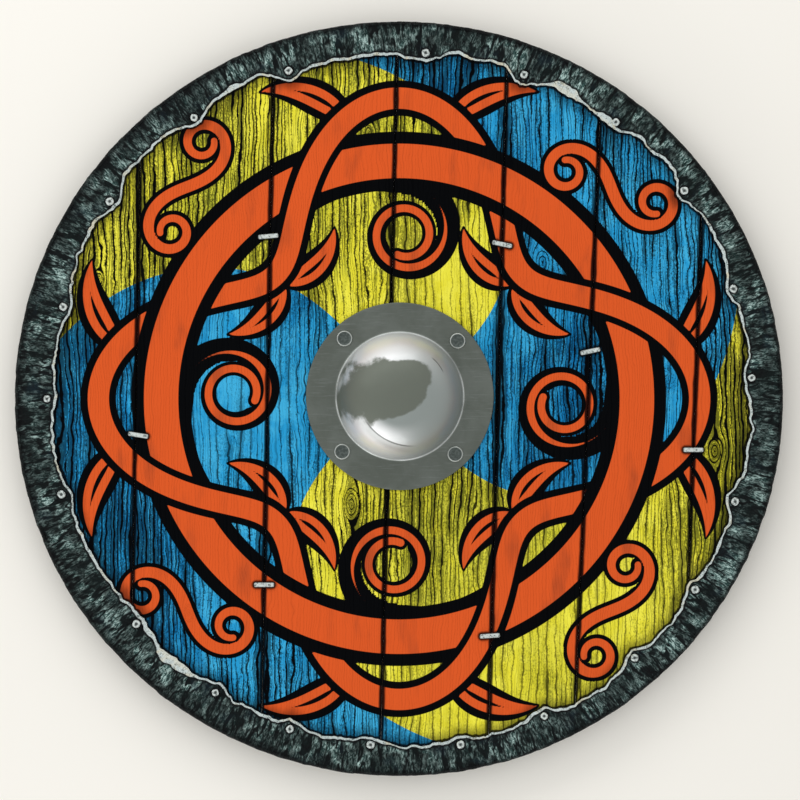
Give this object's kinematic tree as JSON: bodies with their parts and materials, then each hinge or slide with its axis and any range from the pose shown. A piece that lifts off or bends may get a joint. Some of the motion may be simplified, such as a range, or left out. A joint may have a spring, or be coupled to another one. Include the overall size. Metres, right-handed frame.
{
  "type": "round shield",
  "caption": "Round plank shield with a dished steel boss over the hand hole, a hide strip nailed over its edge, a painted face and a wooden grip bar across its back.",
  "frame": {"origin": "on the surface that the shield lies on, under the middle of its outline", "axes": "+Z out of the painted face, +Y up along the planks, +X across them along the grip bar"},
  "size_m": [0.76, 0.7466, 0.0816],
  "materials": {
    "painted_wood": "matt paint in blue, yellow, orange and black over open grain",
    "hide": "dark wrinkled hide, pale at its torn edge",
    "boss_steel": "satin flange and polished dome",
    "rivet_iron": "dark hammered heads",
    "forged_iron": "pale scraped iron, hand forged",
    "grip_wood": "bare oiled wood, worn smooth"
  },
  "bodies": {
    "root": {"plank_1": "painted_wood", "plank_2": "painted_wood", "plank_3": "painted_wood", "plank_4": "painted_wood", "plank_5": "painted_wood", "plank_6": "painted_wood", "plank_7": "painted_wood", "rim_hide": "hide", "rim_nail_01": "forged_iron", "rim_nail_02": "forged_iron", "rim_nail_03": "forged_iron", "rim_nail_04": "forged_iron", "rim_nail_05": "forged_iron", "rim_nail_06": "forged_iron", "rim_nail_07": "forged_iron", "rim_nail_08": "forged_iron", "rim_nail_09": "forged_iron", "rim_nail_10": "forged_iron", "rim_nail_11": "forged_iron", "rim_nail_12": "forged_iron", "rim_nail_13": "forged_iron", "rim_nail_14": "forged_iron", "rim_nail_15": "forged_iron", "rim_nail_16": "forged_iron", "rim_nail_17": "forged_iron", "rim_nail_18": "forged_iron", "rim_nail_19": "forged_iron", "rim_nail_20": "forged_iron", "rim_nail_21": "forged_iron", "boss": "boss_steel", "boss_rivet_1": "rivet_iron", "boss_rivet_2": "rivet_iron", "boss_rivet_3": "rivet_iron", "boss_rivet_4": "rivet_iron", "grip": "grip_wood", "grip_nail_1": "forged_iron", "grip_nail_2": "forged_iron", "grip_nail_3": "forged_iron", "grip_nail_4": "forged_iron", "grip_nail_5": "forged_iron", "grip_nail_6": "forged_iron", "grip_nail_7": "forged_iron", "staple_1": "forged_iron", "staple_2": "forged_iron", "staple_3": "forged_iron", "staple_4": "forged_iron", "staple_5": "forged_iron", "staple_6": "forged_iron", "staple_7": "forged_iron"}
  },
  "joints": []
}
